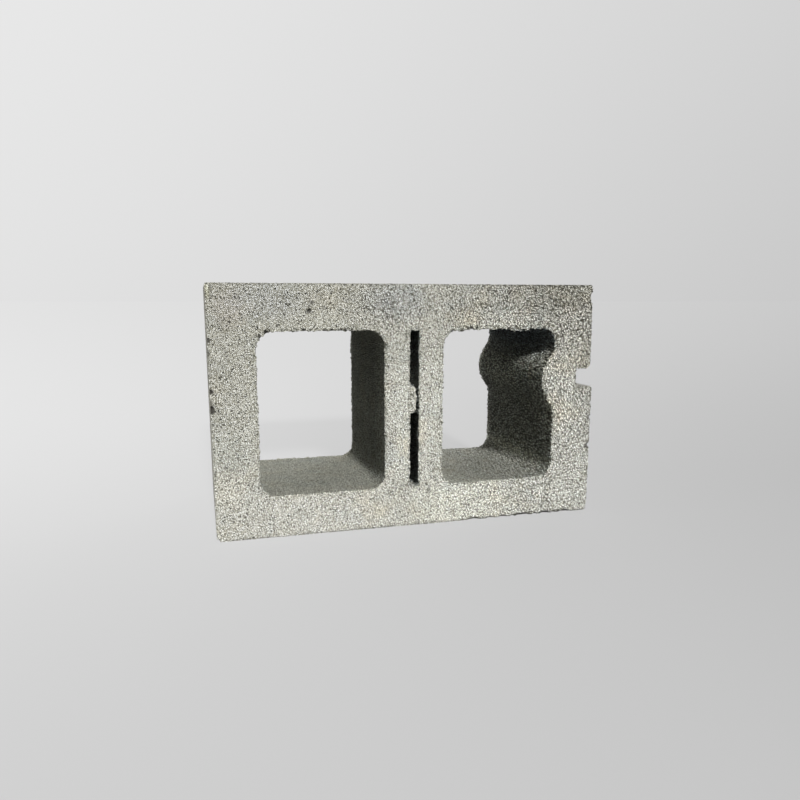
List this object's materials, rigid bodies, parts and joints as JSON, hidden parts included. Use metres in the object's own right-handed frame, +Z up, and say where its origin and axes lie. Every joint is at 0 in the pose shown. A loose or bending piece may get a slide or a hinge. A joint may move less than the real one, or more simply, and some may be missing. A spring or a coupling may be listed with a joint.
{
  "type": "hollow concrete block",
  "caption": "Hollow concrete block with tapered cores, a breaker slot through its middle web and a sash groove in its end.",
  "frame": {"origin": "middle of the face shell that the block lies on, at floor level", "axes": "+Z up, across the block's width; +X along its length, towards the end with the sash groove; -Y through the cores, out of the bed with the thick rims"},
  "size_m": [0.3968, 0.1938, 0.2445],
  "materials": {
    "concrete": "rough, open-textured grey cast concrete"
  },
  "bodies": {
    "root": {"concrete_block": "concrete"}
  },
  "joints": []
}
